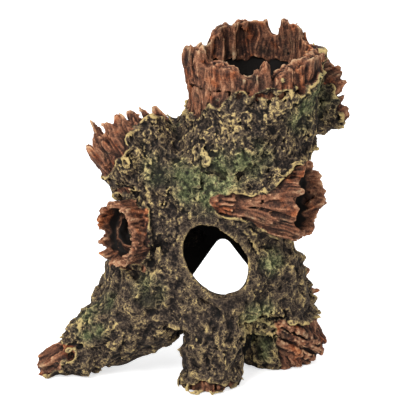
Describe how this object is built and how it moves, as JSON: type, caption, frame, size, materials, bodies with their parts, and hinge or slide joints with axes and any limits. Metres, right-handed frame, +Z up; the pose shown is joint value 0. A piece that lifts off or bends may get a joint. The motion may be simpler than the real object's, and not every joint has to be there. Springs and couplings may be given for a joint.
{
  "type": "resin cave ornament",
  "caption": "Hollow resin tree-stump ornament with torn branch stubs, a slanting front window and a rear arch, standing on spread roots.",
  "frame": {"origin": "centre of the bounding box's base, on the ground", "axes": "+Z up, +X to the right and -Y to the front, where the window is"},
  "size_m": [0.218, 0.1172, 0.2421],
  "materials": {
    "bark_resin": "matt, dry-brushed ochre over dark brown with moss-green airbrushing",
    "torn_wood_resin": "matt red-brown with dark grain"
  },
  "bodies": {
    "root": {"trunk_core": "bark_resin", "upper_trunk": "bark_resin", "stump_crown": "torn_wood_resin", "left_branch": "torn_wood_resin", "left_knot": "torn_wood_resin", "right_branch": "torn_wood_resin", "rear_branch": "torn_wood_resin", "rear_knot": "torn_wood_resin", "left_root": "bark_resin", "centre_root": "bark_resin", "right_root": "bark_resin"}
  },
  "joints": []
}
